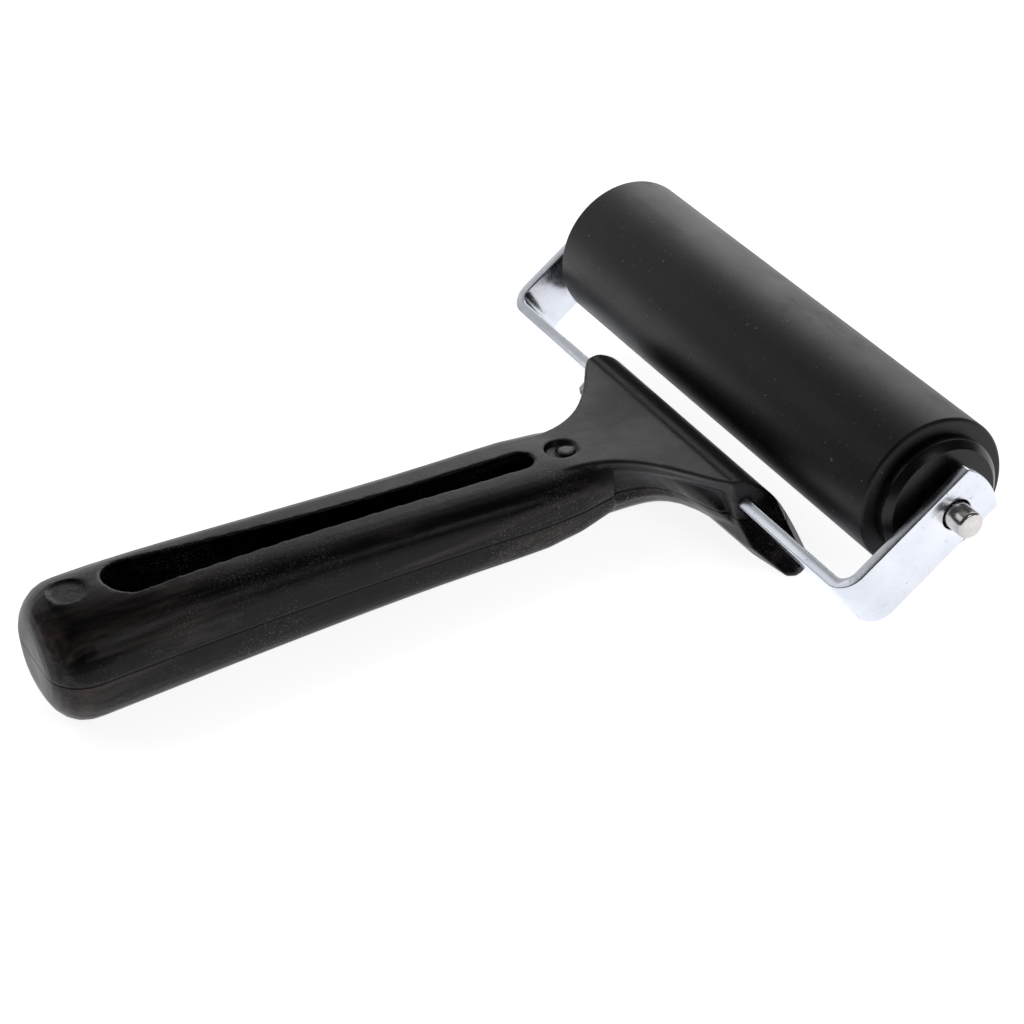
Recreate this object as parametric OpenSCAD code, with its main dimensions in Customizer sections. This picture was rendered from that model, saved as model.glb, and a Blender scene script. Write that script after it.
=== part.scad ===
// Rubber brayer: a rubber-covered roller on a fixed axle rod, held in a bent
// flat-strip frame whose crossbar is moulded into a black plastic handle.
// It lies on the back of its handle, with the frame rising over the table.
// X runs from the butt of the handle (-X) to the roller (+X), Y along the axle.

/* [Roller] */
// Length of the rubber sleeve
roller_length = 100; // [90:1:104]
// Outside diameter of the rubber sleeve
roller_d = 27.6; // [26:0.2:28.6]
// Thickness of the rubber
rubber_wall = 3.3; // [2.8:0.1:3.6]
// Rounding of the ends of the rubber
rubber_round = 0.6; // [0.2:0.1:1]
// Wall of the core tube
tube_wall = 2; // [1.5:0.1:2.4]

/* [End plugs] */
// Diameter of the plug flange that covers the end of the core
flange_d = 22.2; // [21.8:0.1:23]
// Thickness of the flange up to its chamfer
flange_t = 2; // [1.6:0.1:2.2]
// Size of the flange chamfer
flange_chamfer = 1.2; // [0.8:0.1:1.3]
// Diameter of the boss that faces the frame arm
boss_d = 8.8; // [7:0.1:10]
// Length of the spigot inside the core tube
spigot_length = 12; // [8:0.5:16]

/* [Axle] */
// Diameter of the axle rod
axle_d = 4.8; // [4:0.1:5.2]
// How far the rod stands out of each frame arm
axle_stickout = 4; // [3:0.1:5]
// Chamfer on the ends of the rod
axle_chamfer = 0.6; // [0.3:0.1:0.9]
// Diameter of the holes in the frame arms
arm_hole_d = 5; // [4.2:0.1:5.4]

/* [Frame] */
// Outside width of the frame across its two arms
frame_width = 114; // [112:0.5:118]
// Width of the steel strip
strip_width = 11; // [10:0.5:12]
// Thickness of the steel strip
strip_t = 2; // [1.6:0.1:2.2]
// Outside radius of the two bends
bend_r = 4.5; // [4:0.1:6]
// Distance from the middle of the crossbar to the axle
frame_reach = 21.7; // [21:0.1:24]
// Length of each arm past the axle
arm_end = 7.3; // [6:0.1:8]
// Radius of the rounded arm ends
arm_end_r = 13; // [10:0.5:20]
// Angle between the frame and the handle
frame_rake = 34.5; // [30:0.5:38]

/* [Grip] */
// Distance from the crossbar to the butt of the handle
butt_reach = 120.6; // [115:0.2:130]
// Narrowest half-width of the grip
waist_half = 10.4; // [9.6:0.1:11]
// Where the grip is narrowest
waist_at = 56; // [50:1:62]
// Thickness of the web between the two coring grooves
web_t = 3; // [2:0.1:4]
// Height of the parting plane over the middle of the crossbar
parting_z = 1.3; // [1:0.1:1.6]
// Slope of the handle's middle when it lies at rest
rest_tilt = 1.5; // [1:0.1:2]

/* [Head] */
// Half-width of the fan where it meets the roller side
fan_half = 24.6; // [22:0.1:27]
// Half-width of the neck under the fan plate
neck_half = 8; // [7.6:0.1:8.4]
// Half-span of the wing tips along the crossbar
wing_half = 36.5; // [34:0.5:38]
// Thickness of the fan plate
plate_t = 2.4; // [2:0.1:3]

/* [Hidden] */
$fn = 96;

roller_r = roller_d / 2;
tube_r = roller_r - rubber_wall;
tube_bore_r = tube_r - tube_wall;
half_roller = roller_length / 2;
arm_inner = frame_width / 2 - strip_t;
end_play = 0.5;                  // between a plug boss and its arm
fit_gap = 0.02;                  // assembled fits inside one body
over = 1;                        // how far a cutting solid runs past a face

head_top = 8.2;                  // height of the fan plate's face
head_bottom = -6.2;              // underside of the head
grip_start = 18;                 // where the rounded grip sinks into the neck
end_round = 7.4;                 // rounding of the butt in plan
end_round_v = 5.8;               // rounding of the butt in height
rest_cut = -6.05;                // height of the table under the tilted handle
middle_power = 3.6;              // squareness of the grip's section at its middle
butt_top_power = 1.5;            // and of its upper half at the butt
butt_low_power = 2.5;            // and of its lower half at the butt
ring_points = 36;
body_rings = 14;
butt_rings = 6;

// Half-width, upper and lower rise of the grip at a distance u from the crossbar
function flare(u) = u > waist_at ? 0.00069 : 0.00098;
function front_taper(u) = u < 36 ? pow((36 - u) / 12, 2) : 0;
function grip_half(u) = waist_half + flare(u) * pow(u - waist_at, 2);
function upper_rise(u) = head_top + 0.3 + 0.00034 * pow(u - 12, 2) - parting_z
    - 0.25 * front_taper(u);
function lower_rise(u) = 6.98 + 0.00036 * pow(u - 12, 2) - 0.9 * front_taper(u);

// Inset of a corner of radius r at a distance d from the end face
function corner_inset(d, r) = d >= r ? 0 : r - sqrt(pow(r, 2) - pow(r - d, 2));
function plan_half(u) = grip_half(u) - 1.5 * front_taper(u)
    - corner_inset(butt_reach - u, end_round);
function section_rise(u, up) = (up ? upper_rise(u) : lower_rise(u))
    - corner_inset(butt_reach - u, end_round_v);

// One closed ring of the grip: squarish at the middle, rounder towards the butt
function to_butt(u) = u <= 62 ? 0 : pow((u - 62) / (butt_reach - 62), 1.9);
function power_at(u, up) = middle_power
    + ((up ? butt_top_power : butt_low_power) - middle_power) * to_butt(u);
function squarish(a, power) = sign(a) * pow(abs(a), 2 / power);
function grip_ring(u) = [for (i = [0:ring_points - 1])
    let (a = 360 * (i + 0.5) / ring_points, up = a < 180, power = power_at(u, up))
    [-u, plan_half(u) * squarish(cos(a), power),
     parting_z + section_rise(u, up) * squarish(sin(a), power)]];

body_end = butt_reach - end_round;
grip_stations = concat(
    [for (i = [0:body_rings]) grip_start + (body_end - grip_start) * i / body_rings],
    [for (i = [1:butt_rings]) body_end + end_round * sin(90 * i / butt_rings)]);

// Half-widths at a distance s behind the head's front edge: fan plate and wall under it
function fan_edge(s) = 6 + (fan_half - 6) * exp(-pow(s / 8.6, 1.5));
function wall_edge(s) = min(fan_half - 0.6, neck_half + 13 * exp((6.7 - s) / 2.45));
// Front edge of the head at height v: it follows the raked strap
function front_at(v) = v * tan(frame_rake) - 0.9 / cos(frame_rake);

// Rings of the head: height, share of the plate's width over the wall's, offset
wall_foot = -0.6;
wall_head = 5;
wall_rings = [for (i = [0:5]) let (t = i / 5)
    [wall_foot + (wall_head - wall_foot) * t, pow(t, 1.8), -0.9 * t]];
keel_rings = [[head_bottom, 0, -5.8], [-5, 0, -3.6], [-3, 0, -1.4]];
plate_rings = [[wall_head + 0.2, 1, -0.1], [wall_head + 0.9, 1, -0.1],
               [head_top - plate_t + 0.7, 1, -0.8], [head_top - plate_t + 1.2, 1, -0.8],
               [head_top - plate_t + 1.5, 1, 0], [head_top - 0.4, 1, 0], [head_top, 1, -0.5]];
head_rings = concat(keel_rings, wall_rings, plate_rings);

fan_stations = [for (i = [0:20]) 27 * pow(i / 20, 1.5)];
function fan_row(ring, side) = [for (s = fan_stations)
    let (half = wall_edge(s) + (fan_edge(s) - wall_edge(s)) * ring[1] + ring[2])
    [-(front_at(ring[0]) + s), side * half, ring[0]]];
function reversed(list) = [for (i = [len(list) - 1:-1:0]) list[i]];
function fan_ring(ring) = concat(fan_row(ring, -1), reversed(fan_row(ring, 1)));

roller_x = frame_reach * cos(frame_rake);
roller_z = frame_reach * sin(frame_rake);
front_x = roller_x * cos(rest_tilt) + roller_z * sin(rest_tilt) + roller_r;
butt_x = -butt_reach * cos(rest_tilt) + parting_z * sin(rest_tilt);
centre_x = (front_x + butt_x) / 2;

// Skins a list of closed rings that all have the same number of points
module skin(rings) {
    n = len(rings[0]);
    last = len(rings) - 1;
    points = [for (ring = rings) for (p = ring) p];
    sides = [for (r = [0:last - 1]) for (i = [0:n - 1]) let (j = (i + 1) % n)
        each [[r * n + i, r * n + j, (r + 1) * n + j],
              [r * n + i, (r + 1) * n + j, (r + 1) * n + i]]];
    caps = [[for (i = [n - 1:-1:0]) i], [for (i = [0:n - 1]) last * n + i]];
    polyhedron(points, concat(sides, caps));
}

// Places a part drawn about the middle of the crossbar as it lies at rest
module at_rest()
    translate([-centre_x, 0, -rest_cut]) rotate([0, rest_tilt, 0]) children();
// Turns a part drawn in the plane of the frame up to the frame's rake
module raked() rotate([0, -frame_rake, 0]) children();
// Places a part drawn along Z on the axle line
module on_axle() at_rest() raked() translate([frame_reach, 0, 0]) rotate([-90, 0, 0]) children();

// The grip: convex lengths that meet ring to ring
module grip_body()
    for (i = [1:len(grip_stations) - 1])
        hull() skin([grip_ring(grip_stations[i - 1]), grip_ring(grip_stations[i])]);

module fan_body() skin([for (ring = head_rings) fan_ring(ring)]);

// Outline of the crossbar block seen square to the frame: bulged front, rear wings
module wing_plan()
    polygon([[-5.2, -12], [-4.9, -27], [-3.8, -wing_half + 1], [-2.2, -wing_half],
             [1.5, -wing_half + 3], [4.8, -25.8], [4.8, 25.8], [1.5, wing_half - 3],
             [-2.2, wing_half], [-3.8, wing_half - 1], [-4.9, 27], [-5.2, 12]]);

// End view of the block: the wings are widest low down
module wing_elevation()
    polygon([[-fan_half, 12], [-fan_half, 9], [-26, 3], [-wing_half, -4.5], [-wing_half + 1.5, -9.5],
             [wing_half - 1.5, -9.5], [wing_half, -4.5], [26, 3], [fan_half, 9], [fan_half, 12]]);

// Side profile of the block: a bulged front and a roof that slopes to the rear
module wing_profile() {
    bulge_r = 12.4;
    intersection() {
        translate([4.5 - bulge_r, 1.2]) circle(bulge_r);
        polygon([[1.3, 9.6], [12, 9.6], [12, -12], [-24, -12], [-24, -0.6], [-4.9, -0.6], [-1.2, 6.4]]);
    }
}

module crossbar_block() intersection() {
    raked() translate([0, 0, -12]) linear_extrude(24) wing_plan();
    raked() rotate([90, 0, 90]) translate([0, 0, -30]) linear_extrude(40) wing_elevation();
    raked() translate([0, 50, 0]) rotate([90, 0, 0]) linear_extrude(100) wing_profile();
    translate([-30, -50, head_bottom - 0.15]) cube([50, 100, head_top - head_bottom]);
}

// Groove outline: it widens from the waist like the grip
function groove_half(u) = 2.3 + (u > waist_at ? 0.00115 : 0.0005) * pow(u - waist_at, 2);
module groove_plan() {
    front = 32;
    rear = 102.6;
    steps = 14;
    us = [for (i = [0:steps]) front + (rear - front) * i / steps];
    polygon(concat([for (u = us) [-u, groove_half(u)]],
                   reversed([for (u = us) [-u, -groove_half(u)]])));
    translate([-front, 0]) circle(groove_half(front));
    translate([-rear, 0]) circle(groove_half(rear));
}

module coring() {
    depth = 20;
    translate([0, 0, parting_z + web_t / 2]) linear_extrude(depth) groove_plan();
    translate([0, 0, parting_z - web_t / 2 - depth]) linear_extrude(depth) groove_plan();
}

// Round marks left by the mould: a flat gate disc and a shallow recess with a nub
module mould_marks() {
    mark_r = 3.25;
    translate([-113.4, 0, 11.15]) rotate([0, 2, 0]) cylinder(h = 3, r = mark_r);
    difference() {
        translate([-23.8, 0, 7.3]) cylinder(h = 3, r = 2.75);
        translate([-22.9, -0.2, 6.8]) cylinder(h = 1.1, r = 1.5);
    }
}

module handle() color("#1b1b1d") {
    channel = [strip_t + 2 * fit_gap, 2 * (frame_width / 2 - bend_r), strip_width + 2 * fit_gap];
    difference() {
        at_rest() difference() {
            union() {
                grip_body();
                fan_body();
                crossbar_block();
            }
            coring();
            mould_marks();
            raked() cube(channel, center = true);
        }
        translate([-150, -60, -20]) cube([300, 120, 20]);
    }
}

// A flat U: the outline of the bent strip, from the crossbar to the arm ends
module u_shape(width, corner_r, start, length) {
    translate([start + corner_r, -width / 2]) square([length - corner_r, width]);
    translate([start, corner_r - width / 2]) square([corner_r + over, width - 2 * corner_r]);
    for (side = [-1, 1])
        translate([start + corner_r, side * (width / 2 - corner_r)]) circle(corner_r);
}

module frame_strap() color("#c9c9d1") at_rest() raked() {
    reach = frame_reach + arm_end;
    difference() {
        intersection() {
            translate([0, 0, -strip_width / 2]) linear_extrude(strip_width) difference() {
                u_shape(frame_width, bend_r, -strip_t / 2, reach + strip_t);
                u_shape(2 * arm_inner, bend_r - strip_t, strip_t / 2, reach + 2 * strip_t);
            }
            rotate([90, 0, 0]) translate([0, 0, -frame_width / 2 - over])
                linear_extrude(frame_width + 2 * over) {
                    translate([-strip_t, -strip_width]) square([reach - arm_end_r / 2, 2 * strip_width]);
                    translate([reach - arm_end_r, 0]) circle(arm_end_r);
                }
        }
        translate([frame_reach, frame_width, 0]) rotate([90, 0, 0])
            cylinder(h = 2 * frame_width, d = arm_hole_d);
    }
}

module axle_rod() color("#b9b9bd") on_axle() {
    half = frame_width / 2 + axle_stickout;
    r = axle_d / 2;
    rotate_extrude() polygon([[0, -half], [r - axle_chamfer, -half], [r, axle_chamfer - half],
                              [r, half - axle_chamfer], [r - axle_chamfer, half], [0, half]]);
}

module core_tube() color("#3a3a3c") on_axle()
    rotate_extrude() translate([tube_bore_r, -half_roller]) square([tube_wall, roller_length]);

module rubber_sleeve() color("#232325") on_axle() rotate_extrude() {
    translate([tube_r, -half_roller]) square([rubber_wall - rubber_round, roller_length]);
    translate([tube_r, rubber_round - half_roller])
        square([rubber_wall, roller_length - 2 * rubber_round]);
    for (side = [-1, 1])
        translate([roller_r - rubber_round, side * (half_roller - rubber_round)]) circle(rubber_round);
}

// A moulded plug: spigot in the tube, chamfered flange, boss towards the arm
module end_plug() {
    flange_r = flange_d / 2;
    face = flange_t + flange_chamfer;
    boss_top = arm_inner - end_play - half_roller;
    bore_r = axle_d / 2 + fit_gap;
    spigot_r = tube_bore_r - fit_gap;
    rotate_extrude() polygon([[bore_r, -spigot_length], [spigot_r - 0.6, -spigot_length],
        [spigot_r, 0.6 - spigot_length], [spigot_r, 0], [flange_r, 0], [flange_r, flange_t],
        [flange_r - flange_chamfer, face], [boss_d / 2, face], [boss_d / 2, boss_top], [bore_r, boss_top]]);
}

module left_end_plug() color("#141416") on_axle() translate([0, 0, half_roller]) end_plug();
module right_end_plug() color("#141416") on_axle()
    mirror([0, 0, 1]) translate([0, 0, half_roller]) end_plug();

handle();
frame_strap();
axle_rod();
core_tube();
rubber_sleeve();
left_end_plug();
right_end_plug();
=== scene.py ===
import math

import bmesh
import bpy
from mathutils import Matrix, Vector


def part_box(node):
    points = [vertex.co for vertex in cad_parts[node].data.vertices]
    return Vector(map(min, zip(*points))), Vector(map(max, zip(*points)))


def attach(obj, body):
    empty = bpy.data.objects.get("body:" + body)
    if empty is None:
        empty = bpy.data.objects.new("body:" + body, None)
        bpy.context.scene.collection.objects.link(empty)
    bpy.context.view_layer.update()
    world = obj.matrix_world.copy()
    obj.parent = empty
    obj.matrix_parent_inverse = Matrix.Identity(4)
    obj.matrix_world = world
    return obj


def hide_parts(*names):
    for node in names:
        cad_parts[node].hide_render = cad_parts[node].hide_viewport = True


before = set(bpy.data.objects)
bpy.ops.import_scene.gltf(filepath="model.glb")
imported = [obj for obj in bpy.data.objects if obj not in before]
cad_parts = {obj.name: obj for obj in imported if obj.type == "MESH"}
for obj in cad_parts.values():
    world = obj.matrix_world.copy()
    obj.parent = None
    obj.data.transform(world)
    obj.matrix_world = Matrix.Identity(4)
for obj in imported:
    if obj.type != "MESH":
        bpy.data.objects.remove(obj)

MM = 0.001

# How the handle lies: its middle slopes by REST_TILT, its frame is raked from it
REST_TILT = math.radians(1.5)
FRAME_RAKE = math.radians(33.0)
ARM_REACH = 21.7 * MM            # axle to the middle of the crossbar
PARTING_RISE = 1.3 * MM          # parting plane over the middle of the crossbar

# Surface finish of the remade pieces
SHELL_VOXEL = 0.26 * MM
SHELL_SMOOTHING = 13
STRIP_EDGE = 0.25 * MM
WELD_DISTANCE = 0.001 * MM
FLAT_ANGLE = math.radians(0.5)   # faces this close to flat are merged
SHARP_ANGLE = math.radians(35)   # edges sharper than this are rounded
HOLE_EASED = 2.75 * MM           # shown radius of the holes in the arms
LATHE_STEPS = 192
RUBBER_ROUND = 0.7 * MM
FLANGE_CHAMFER = 1.2 * MM
FLANGE_THICKNESS = 2.0 * MM
FLANGE_SIDE_EASE = 0.1 * MM
FLANGE_BACK_EASE = 0.15 * MM
BOSS_RADIUS = 4.4 * MM
BOSS_ROUND = 0.25 * MM
BOSS_FILLET = ((0.35 * MM, 0.0), (0.1 * MM, 0.08 * MM), (0.0, 0.3 * MM))
BORE_CHAMFER = 0.2 * MM
SPIGOT_CHAMFER = 0.5 * MM
CORE_WALL = 2.0 * MM
RUNNING_GAP = 0.02 * MM
SMALL_ROUND = 0.3 * MM
ROUND_SHIFT = 0.4                # how far a small round moves back from a 45 degree edge
AXLE_ROUND = 0.55 * MM
CENTRE_MARK = (0.9 * MM, 1.2 * MM, 0.04 * MM)    # inner and outer radius, depth

# Mould marks on the handle's upper side: place in plan and radius
GATE_MARK = (-68.8 * MM, 0.0, 3.2 * MM)
PIN_MARK = (21.6 * MM, -0.2 * MM, 1.5 * MM)
MARK_HEIGHT = 10.0 * MM

# The camera, as the brayer was seen
VIEW_AZIMUTH = math.radians(-25.48)
VIEW_ELEVATION = math.radians(34.31)
VIEW_ROLL = math.radians(-4.63)
VIEW_DISTANCE = 459.5 * MM
VIEW_TARGET = Vector((2.75, -16.29, 17.87)) * MM
VIEW_LENS = 98.33

# The pale floor and the light from all round it
FLOOR_GLOW = 1.02
FLOOR_HALF = 6.0
WORLD_DIM = 0.06                 # on the camera's side
WORLD_BRIGHT = 0.80              # behind the object
WORLD_TURN = (0.10, 0.95)        # where it starts and stops getting brighter

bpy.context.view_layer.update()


# ---------------------------------------------------------------- small helpers

def low_high(node):
    """Lowest and highest corner of a CAD node."""
    low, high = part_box(node)
    return Vector(low), Vector(high)


def add_object(name, mesh):
    obj = bpy.data.objects.new(name, mesh)
    bpy.context.scene.collection.objects.link(obj)
    return obj


def stand_for(obj, node, body):
    """obj is shown in place of a CAD node and moves with its body."""
    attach(obj, body)
    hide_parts(node)


def welded_copy(node):
    """A bmesh of a CAD node with its split vertices joined."""
    bm = bmesh.new()
    bm.from_mesh(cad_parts[node].data)
    bmesh.ops.remove_doubles(bm, verts=bm.verts, dist=WELD_DISTANCE)
    return bm


def finish_mesh(bm, name):
    mesh = bpy.data.meshes.new(name)
    bm.to_mesh(mesh)
    bm.free()
    for face in mesh.polygons:
        face.use_smooth = True
    return mesh


# ---------------------------------------------------------------- materials

class Surface:
    """A Principled material whose inputs are driven by procedural nodes."""

    def __init__(self, name, **constants):
        self.material = bpy.data.materials.new(name)
        self.material.use_nodes = True
        self.nodes = self.material.node_tree.nodes
        self.links = self.material.node_tree.links
        self.shader = self.nodes["Principled BSDF"]
        for key, value in constants.items():
            self.shader.inputs[key.replace("_", " ")].default_value = value
        self.place = self.nodes.new("ShaderNodeTexCoord").outputs["Object"]

    def node(self, kind, **settings):
        made = self.nodes.new(kind)
        for key, value in settings.items():
            setattr(made, key, value)
        return made

    def stretched(self, x, y, z):
        """Object coordinates scaled along each axis."""
        mapping = self.node("ShaderNodeMapping")
        mapping.inputs["Scale"].default_value = (x, y, z)
        self.links.new(self.place, mapping.inputs["Vector"])
        return mapping.outputs["Vector"]

    def noise(self, scale, detail=3.0, roughness=0.55, place=None, distortion=0.0):
        made = self.node("ShaderNodeTexNoise")
        made.inputs["Scale"].default_value = scale
        made.inputs["Detail"].default_value = detail
        made.inputs["Roughness"].default_value = roughness
        made.inputs["Distortion"].default_value = distortion
        self.links.new(place or self.place, made.inputs["Vector"])
        return made.outputs["Fac"]

    def remap(self, value, low, high, to_low=0.0, to_high=1.0):
        made = self.node("ShaderNodeMapRange")
        made.inputs["From Min"].default_value = low
        made.inputs["From Max"].default_value = high
        made.inputs["To Min"].default_value = to_low
        made.inputs["To Max"].default_value = to_high
        self.links.new(value, made.inputs["Value"])
        return made.outputs["Result"]

    def math(self, operation, first, second=None):
        made = self.node("ShaderNodeMath", operation=operation)
        for slot, value in enumerate((first, second)):
            if isinstance(value, (int, float)):
                made.inputs[slot].default_value = value
            elif value is not None:
                self.links.new(value, made.inputs[slot])
        return made.outputs["Value"]

    def blend(self, factor, first, second):
        """Colour mix; each colour is an RGB triple or a socket."""
        made = self.node("ShaderNodeMix", data_type="RGBA")
        self.links.new(factor, made.inputs["Factor"])
        for name, value in (("A", first), ("B", second)):
            socket = [s for s in made.inputs if s.name == name and s.type == "RGBA"][0]
            if isinstance(value, tuple):
                socket.default_value = (*value, 1.0)
            else:
                self.links.new(value, socket)
        return [s for s in made.outputs if s.type == "RGBA"][0]

    def axis(self, letter):
        split = self.node("ShaderNodeSeparateXYZ")
        self.links.new(self.place, split.inputs["Vector"])
        return split.outputs[letter]

    def bump(self, height, distance, strength=1.0, under=None):
        made = self.node("ShaderNodeBump")
        made.inputs["Strength"].default_value = strength
        made.inputs["Distance"].default_value = distance
        self.links.new(height, made.inputs["Height"])
        if under is not None:
            self.links.new(under, made.inputs["Normal"])
        return made.outputs["Normal"]

    def set(self, **sockets):
        for key, value in sockets.items():
            self.links.new(value, self.shader.inputs[key.replace("_", " ")])
        return self.material

    def disc(self, x, y, radius):
        """1 inside an upright circle, above MARK_HEIGHT."""
        across = self.math("SUBTRACT", self.axis("X"), x)
        along = self.math("SUBTRACT", self.axis("Y"), y)
        squares = [self.math("MULTIPLY", side, side) for side in (across, along)]
        away = self.math("SQRT", self.math("ADD", squares[0], squares[1]))
        above = self.remap(self.axis("Z"), MARK_HEIGHT, MARK_HEIGHT + 1.0 * MM)
        return self.math("MULTIPLY", self.remap(away, radius, 0.92 * radius), above)

    def band(self, value, middle, half):
        """1 where value is within half of middle, falling off smoothly."""
        away = self.math("ABSOLUTE", self.math("SUBTRACT", value, middle))
        return self.remap(away, half, 0.25 * half)


def handle_plastic():
    """Moulded black plastic: flow streaks along the grip, a fine grey speckle, a seam, and a
    painted sheen on the top of the head.
    """
    s = Surface("handle_plastic", Specular_IOR_Level=0.20)
    cloud = s.noise(70, 3, 0.6)
    flow = s.noise(150, 5, 0.65, s.stretched(0.14, 1, 1), 1.2)
    fibre = s.noise(900, 3, 0.6, s.stretched(0.08, 1, 1), 0.4)
    streak = s.math("MULTIPLY", s.remap(flow, 0.50, 0.68), s.remap(fibre, 0.35, 0.65, 0.25, 1.0))
    patch = s.remap(s.noise(34, 2, 0.5), 0.32, 0.52)
    streak = s.math("MULTIPLY", streak, patch)
    colour = s.blend(streak, (0.0014, 0.0012, 0.0015), (0.062, 0.046, 0.043))
    speck = s.remap(s.noise(3000, 2, 0.75), 0.57, 0.67)
    worn = s.remap(s.noise(55, 4, 0.65), 0.46, 0.66)
    colour = s.blend(s.math("MULTIPLY", speck, worn), colour, (0.150, 0.142, 0.145))
    # Painted sheen: the top of the head is made lighter in colour to stand in for the satin
    # highlight that the light lays there.
    painted_sheen = s.math("MULTIPLY", s.remap(s.axis("X"), 20 * MM, 32 * MM),
                  s.remap(s.axis("X"), 45.5 * MM, 43.5 * MM))
    painted_sheen = s.math("MULTIPLY", painted_sheen, s.remap(s.axis("Z"), 8 * MM, 10 * MM))
    colour = s.blend(s.math("MULTIPLY", painted_sheen, 0.8), colour, (0.052, 0.050, 0.055))
    cuts = s.band(s.noise(330, 2, 0.5, distortion=0.8), 0.5, 0.012)
    gate = s.disc(*GATE_MARK)
    colour = s.blend(gate, colour, (0.026, 0.026, 0.028))
    pin = s.disc(*PIN_MARK)
    colour = s.blend(pin, colour, (0.14, 0.14, 0.145))
    marks = s.math("MULTIPLY", s.math("MAXIMUM", gate, pin), cuts)
    colour = s.blend(marks, colour, (0.0012, 0.0012, 0.0014))
    height = s.math("ADD", s.math("MULTIPLY", s.axis("Z"), math.cos(REST_TILT)),
                    s.math("MULTIPLY", s.axis("X"), math.sin(REST_TILT)))
    seam = s.band(height, seam_height(), 0.30 * MM)
    colour = s.blend(seam, colour, (0.0010, 0.0010, 0.0012))
    normal = s.bump(s.noise(1500, 3, 0.6), 0.022 * MM)
    normal = s.bump(s.noise(240, 3, 0.5), 0.09 * MM, under=normal)
    normal = s.bump(fibre, 0.020 * MM, under=normal)
    normal = s.bump(s.math("MULTIPLY", seam, -1.0), 0.14 * MM, under=normal)
    normal = s.bump(s.math("MULTIPLY", marks, -1.0), 0.15 * MM, under=normal)
    rough = s.remap(cloud, 0.3, 0.7, 0.27, 0.38)
    rough = s.math("ADD", rough, s.math("MULTIPLY", worn, 0.08))
    return s.set(Base_Color=colour, Roughness=rough, Normal=normal)


def roller_rubber():
    """Black rubber, ground and matt: pale dust, faint smears and fine grinding lines."""
    s = Surface("roller_rubber", Specular_IOR_Level=0.34)
    cloud = s.noise(60, 4, 0.6)
    colour = s.blend(s.remap(cloud, 0.3, 0.7), (0.0028, 0.0026, 0.0035), (0.0055, 0.0052, 0.0066))
    smear = s.remap(s.noise(130, 5, 0.65, s.stretched(1, 0.35, 1), 0.9), 0.58, 0.76)
    colour = s.blend(s.math("MULTIPLY", smear, 0.40), colour, (0.030, 0.029, 0.032))
    fine = s.remap(s.noise(1900, 2, 0.6), 0.665, 0.72)
    colour = s.blend(s.math("MULTIPLY", fine, 0.45), colour, (0.060, 0.060, 0.062))
    dust = s.remap(s.noise(1150, 2, 0.6), 0.70, 0.735)
    colour = s.blend(s.math("MULTIPLY", dust, 0.8), colour, (0.16, 0.16, 0.16))
    ground = s.noise(900, 3, 0.6, s.stretched(0.12, 1, 0.12))
    normal = s.bump(ground, 0.014 * MM)
    normal = s.bump(s.noise(2200, 2, 0.6), 0.016 * MM, under=normal)
    normal = s.bump(dust, 0.03 * MM, under=normal)
    rough = s.math("ADD", s.remap(cloud, 0.3, 0.7, 0.41, 0.50), s.math("MULTIPLY", smear, 0.12))
    return s.set(Base_Color=colour, Roughness=rough, Normal=normal)


def zinc_steel():
    """Bright zinc plate: bluish, faintly clouded, with drawing lines and fine pits."""
    s = Surface("zinc_steel", Metallic=1.0)
    cloud = s.noise(85, 4, 0.6)
    colour = s.blend(s.remap(cloud, 0.3, 0.7), (0.64, 0.68, 0.77), (0.82, 0.84, 0.89))
    drawn = s.noise(900, 3, 0.6, s.stretched(0.5, 0.05, 0.5))
    stain = s.remap(s.noise(330, 4, 0.7), 0.62, 0.76)
    colour = s.blend(s.math("MULTIPLY", stain, 0.55), colour, (0.42, 0.44, 0.49))
    pit = s.remap(s.noise(1500, 2, 0.6), 0.70, 0.75)
    colour = s.blend(s.math("MULTIPLY", pit, 0.6), colour, (0.20, 0.20, 0.22))
    normal = s.bump(drawn, 0.014 * MM)
    normal = s.bump(s.noise(160, 3, 0.6), 0.06 * MM, under=normal)
    normal = s.bump(pit, 0.02 * MM, under=normal)
    rough = s.math("ADD", s.remap(drawn, 0.3, 0.7, 0.17, 0.30), s.math("MULTIPLY", stain, 0.14))
    return s.set(Base_Color=colour, Roughness=rough, Normal=normal)


def axle_steel():
    """Turned steel, with fine rings round the rod."""
    s = Surface("axle_steel", Metallic=1.0)
    cloud = s.noise(260, 4, 0.6)
    colour = s.blend(s.remap(cloud, 0.3, 0.7), (0.52, 0.50, 0.50), (0.72, 0.69, 0.67))
    turned = s.noise(3200, 2, 0.6, s.stretched(1, 0.06, 1))
    normal = s.bump(turned, 0.012 * MM)
    rough = s.remap(turned, 0.3, 0.7, 0.12, 0.26)
    return s.set(Base_Color=colour, Roughness=rough, Normal=normal)


def plug_plastic():
    """Smooth, fairly glossy black plastic with a few specks."""
    s = Surface("plug_plastic", Specular_IOR_Level=0.34)
    cloud = s.noise(160, 3, 0.6)
    colour = s.blend(s.remap(cloud, 0.35, 0.7), (0.0018, 0.0018, 0.0022), (0.0040, 0.0038, 0.0045))
    speck = s.remap(s.noise(1700, 2, 0.6), 0.70, 0.76)
    colour = s.blend(speck, colour, (0.03, 0.03, 0.03))
    normal = s.bump(s.noise(700, 3, 0.6), 0.010 * MM)
    rough = s.remap(cloud, 0.3, 0.7, 0.22, 0.36)
    return s.set(Base_Color=colour, Roughness=rough, Normal=normal)


def core_plastic():
    """Plain dark grey tube, hidden under the rubber."""
    s = Surface("core_plastic", Specular_IOR_Level=0.3)
    cloud = s.noise(140, 3, 0.6)
    colour = s.blend(cloud, (0.030, 0.030, 0.032), (0.045, 0.044, 0.046))
    normal = s.bump(s.noise(1200, 3, 0.6), 0.02 * MM)
    rough = s.remap(cloud, 0.3, 0.7, 0.50, 0.66)
    return s.set(Base_Color=colour, Roughness=rough, Normal=normal)


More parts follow.
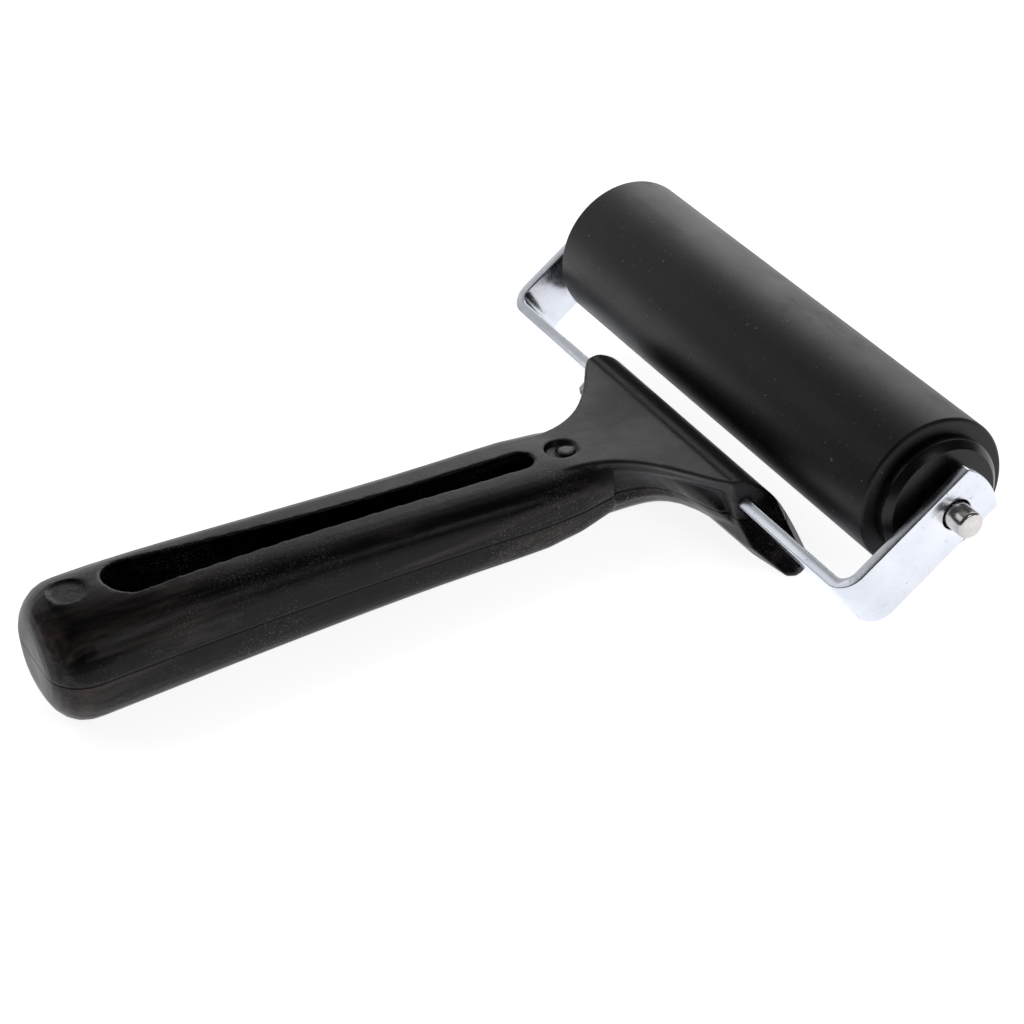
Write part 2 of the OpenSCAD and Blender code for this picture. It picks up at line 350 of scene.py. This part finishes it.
def floor_paint():
    """Pale floor that glows a little, so that it stays nearly white."""
    s = Surface("floor_paint", Specular_IOR_Level=0.2, Emission_Strength=FLOOR_GLOW)
    cloud = s.noise(6, 3, 0.5)
    colour = s.blend(cloud, (0.84, 0.84, 0.85), (0.88, 0.88, 0.885))
    s.links.new(colour, s.shader.inputs["Emission Color"])
    rough = s.remap(cloud, 0.3, 0.7, 0.7, 0.8)
    return s.set(Base_Color=colour, Roughness=rough)


# ---------------------------------------------------------------- pieces

def seam_height():
    """Where the parting plane lies along the handle's own upward axis."""
    axle = axle_centre()
    bar_x = axle.x - ARM_REACH * math.cos(FRAME_RAKE)
    bar_z = axle.z - ARM_REACH * math.sin(FRAME_RAKE)
    up = Vector((math.sin(REST_TILT), 0, math.cos(REST_TILT)))
    return up.dot(Vector((bar_x, 0, bar_z))) + PARTING_RISE


def smooth_shell(node, name):
    """A dense, softened copy of a moulded CAD node, with its sharp edges eased."""
    bm = welded_copy(node)
    obj = add_object(name + "_source", finish_mesh(bm, name + "_source"))
    remesh = obj.modifiers.new("remesh", "REMESH")
    remesh.mode = "VOXEL"
    remesh.voxel_size = SHELL_VOXEL
    smooth = obj.modifiers.new("smooth", "SMOOTH")
    smooth.factor = 0.5
    smooth.iterations = SHELL_SMOOTHING
    graph = bpy.context.evaluated_depsgraph_get()
    mesh = bpy.data.meshes.new_from_object(obj.evaluated_get(graph))
    bpy.data.objects.remove(obj)
    for face in mesh.polygons:
        face.use_smooth = True
    mesh.name = name
    return add_object(name, mesh)


def open_holes(bm):
    """Eases the drilled holes so that a dark gap shows round the rod."""
    centre = axle_centre()
    for vert in bm.verts:
        away = Vector((vert.co.x - centre.x, 0.0, vert.co.z - centre.z))
        if away.length < HOLE_EASED:
            away *= HOLE_EASED / away.length
            vert.co.x = centre.x + away.x
            vert.co.z = centre.z + away.z


def strip_copy(node, name):
    """A copy of the bent strip with small rounded edges."""
    bm = welded_copy(node)
    bmesh.ops.dissolve_limit(bm, angle_limit=FLAT_ANGLE, verts=bm.verts, edges=bm.edges)
    open_holes(bm)
    sharp = [e for e in bm.edges if e.is_manifold and e.calc_face_angle() > SHARP_ANGLE]
    bmesh.ops.bevel(bm, geom=sharp, offset=STRIP_EDGE, segments=3, profile=0.5, affect="EDGES",
                    clamp_overlap=True)
    mesh = finish_mesh(bm, name)
    mesh.set_sharp_from_angle(angle=math.radians(30))
    return add_object(name, mesh)


def arc(centre_r, centre_y, radius, start, end, steps=5):
    """Points of a profile arc, as (distance from the axle, place along it)."""
    turn = [math.radians(start + (end - start) * i / steps) for i in range(steps + 1)]
    return [(centre_r + radius * math.cos(a), centre_y + radius * math.sin(a)) for a in turn]


def lathe(name, profile, centre):
    """Turns a closed profile about the axle line through centre."""
    verts = []
    faces = []
    count = len(profile)
    for step in range(LATHE_STEPS):
        angle = 2 * math.pi * step / LATHE_STEPS
        for r, y in profile:
            verts.append((centre.x + r * math.cos(angle), y, centre.z + r * math.sin(angle)))
        ahead = (step + 1) % LATHE_STEPS
        for i in range(count):
            j = (i + 1) % count
            faces.append((step * count + i, step * count + j, ahead * count + j, ahead * count + i))
    mesh = bpy.data.meshes.new(name)
    mesh.from_pydata(verts, [], faces)
    bm = bmesh.new()
    bm.from_mesh(mesh)
    bmesh.ops.remove_doubles(bm, verts=bm.verts, dist=0.0005 * MM)
    bmesh.ops.dissolve_degenerate(bm, edges=bm.edges, dist=0.0001 * MM)
    bmesh.ops.recalc_face_normals(bm, faces=bm.faces)
    bm.to_mesh(mesh)
    bm.free()
    for face in mesh.polygons:
        face.use_smooth = True
    mesh.set_sharp_from_angle(angle=math.radians(32))
    return add_object(name, mesh)


def axle_centre():
    low, high = low_high("axle_rod")
    return (low + high) / 2


def make_sleeve():
    low, high = low_high("rubber_sleeve")
    outer = (high.x - low.x) / 2
    core_low, core_high = low_high("core_tube")
    inner = (core_high.x - core_low.x) / 2
    r = RUBBER_ROUND
    profile = [(inner, low.y)]
    profile += arc(outer - r, low.y + r, r, -90, 0)
    profile += arc(outer - r, high.y - r, r, 0, 90)
    profile += [(inner, high.y)]
    return lathe("rubber_sleeve_skin", profile, axle_centre())


def make_axle():
    low, high = low_high("axle_rod")
    radius = (high.x - low.x) / 2
    r = AXLE_ROUND
    inner, outer, depth = CENTRE_MARK
    profile = [(0, low.y), (inner, low.y + depth), (outer, low.y)]
    profile += arc(radius - r, low.y + r, r, -90, 0)
    profile += arc(radius - r, high.y - r, r, 0, 90)
    profile += [(outer, high.y), (inner, high.y - depth), (0, high.y)]
    return lathe("axle_rod_turned", profile, axle_centre())


def make_plug(node, side):
    """An end plug; side is +1 for the +Y end and -1 for the other."""
    low, high = low_high(node)
    axle_low, axle_high = low_high("axle_rod")
    bore = (axle_high.x - axle_low.x) / 2 + RUNNING_GAP
    flange = (high.x - low.x) / 2
    tube_end = low_high("rubber_sleeve")[1].y
    tip = max(abs(low.y), abs(high.y))
    root = min(abs(low.y), abs(high.y))
    core_low, core_high = low_high("core_tube")
    spigot = (core_high.x - core_low.x) / 2 - CORE_WALL - RUNNING_GAP
    step = tube_end + FLANGE_THICKNESS
    face = step + FLANGE_CHAMFER
    e = SMALL_ROUND
    shift = ROUND_SHIFT * e
    profile = [(bore, root), (spigot - SPIGOT_CHAMFER, root)]
    profile += [(spigot, root + SPIGOT_CHAMFER), (spigot, tube_end)]
    profile += [(flange - FLANGE_SIDE_EASE, tube_end), (flange, tube_end + FLANGE_BACK_EASE)]
    profile += arc(flange - e, step - shift, e, 0, 45, 3)
    profile += arc(flange - FLANGE_CHAMFER - shift, face - e, e, 45, 90, 3)
    profile += [(BOSS_RADIUS + out, face + rise) for out, rise in BOSS_FILLET]
    profile += arc(BOSS_RADIUS - BOSS_ROUND, tip - BOSS_ROUND, BOSS_ROUND, 0, 90, 3)
    profile += [(bore + BORE_CHAMFER, tip), (bore, tip - BORE_CHAMFER)]
    profile = [(r, side * y) for r, y in profile]
    return lathe(node + "_turned", profile, axle_centre())


def build_pieces():
    plastic = handle_plastic()
    shell = smooth_shell("handle", "handle_shell")
    stand_for(shell, "handle", "root")
    shell.data.materials.clear()
    shell.data.materials.append(plastic)
    strip = strip_copy("frame_strap", "frame_strip")
    stand_for(strip, "frame_strap", "root")
    strip.data.materials.clear()
    strip.data.materials.append(zinc_steel())
    sleeve = make_sleeve()
    stand_for(sleeve, "rubber_sleeve", "roller")
    sleeve.data.materials.append(roller_rubber())
    axle = make_axle()
    stand_for(axle, "axle_rod", "roller")
    axle.data.materials.append(axle_steel())
    gloss = plug_plastic()
    for node, side in (("left_end_plug", 1), ("right_end_plug", -1)):
        plug = make_plug(node, side)
        stand_for(plug, node, "roller")
        plug.data.materials.append(gloss)
    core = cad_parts["core_tube"]
    core_look = core_plastic()
    for slot in core.material_slots:
        slot.material = core_look


# ---------------------------------------------------------------- stage and light

def build_stage():
    mesh = bpy.data.meshes.new("floor")
    h = FLOOR_HALF
    mesh.from_pydata([(-h, -h, 0), (h, -h, 0), (h, h, 0), (-h, h, 0)], [], [(0, 1, 2, 3)])
    floor = add_object("floor", mesh)
    floor.data.materials.append(floor_paint())


def build_world():
    """Soft light from all round, brighter behind the object than on the camera's side."""
    world = bpy.data.worlds.new("studio")
    world.use_nodes = True
    bpy.context.scene.world = world
    nodes = world.node_tree.nodes
    links = world.node_tree.links
    place = nodes.new("ShaderNodeTexCoord").outputs["Generated"]
    dot = nodes.new("ShaderNodeVectorMath")
    dot.operation = "DOT_PRODUCT"
    away = Vector((-math.sin(VIEW_AZIMUTH), math.cos(VIEW_AZIMUTH), 0.0))
    dot.inputs[1].default_value = away
    links.new(place, dot.inputs[0])
    span = nodes.new("ShaderNodeMapRange")
    span.interpolation_type = "SMOOTHSTEP"
    span.inputs["From Min"].default_value = WORLD_TURN[0]
    span.inputs["From Max"].default_value = WORLD_TURN[1]
    span.inputs["To Min"].default_value = WORLD_DIM
    span.inputs["To Max"].default_value = WORLD_BRIGHT
    links.new(dot.outputs["Value"], span.inputs["Value"])
    background = nodes["Background"]
    background.inputs["Color"].default_value = (1.0, 1.0, 1.0, 1.0)
    links.new(span.outputs["Result"], background.inputs["Strength"])


def area_light(name, place, target, size, power):
    data = bpy.data.lights.new(name, "AREA")
    data.shape = "DISK"
    data.size = size
    data.energy = power
    light = bpy.data.objects.new(name, data)
    light.location = place
    light.rotation_euler = (Vector(target) - Vector(place)).to_track_quat("-Z", "Y").to_euler()
    bpy.context.scene.collection.objects.link(light)


def build_lights():
    middle = (0.0, 0.0, 0.01)
    area_light("back_light", (0.72, 0.76, 0.52), middle, 0.85, 2.9)
    area_light("side_light", (-0.75, 0.75, 0.75), middle, 0.7, 1.0)
    area_light("front_fill", (0.35, -1.05, 0.75), middle, 0.5, 1.2)


def build_camera():
    toward = Vector((math.sin(VIEW_AZIMUTH) * math.cos(VIEW_ELEVATION),
                     -math.cos(VIEW_AZIMUTH) * math.cos(VIEW_ELEVATION),
                     math.sin(VIEW_ELEVATION)))
    level = Vector((math.cos(VIEW_AZIMUTH), math.sin(VIEW_AZIMUTH), 0.0))
    above = toward.cross(level)
    right = level * math.cos(VIEW_ROLL) + above * math.sin(VIEW_ROLL)
    up = toward.cross(right)
    data = bpy.data.cameras.new("camera")
    data.lens = VIEW_LENS
    data.sensor_width = 36.0
    data.clip_start = 0.01
    camera = bpy.data.objects.new("camera", data)
    place = Matrix((right, up, toward)).transposed().to_4x4()
    place.translation = VIEW_TARGET + toward * VIEW_DISTANCE
    camera.matrix_world = place
    bpy.context.scene.collection.objects.link(camera)
    bpy.context.scene.camera = camera


build_pieces()
build_stage()
build_world()
build_lights()
build_camera()
bpy.context.scene.view_settings.view_transform = "Standard"
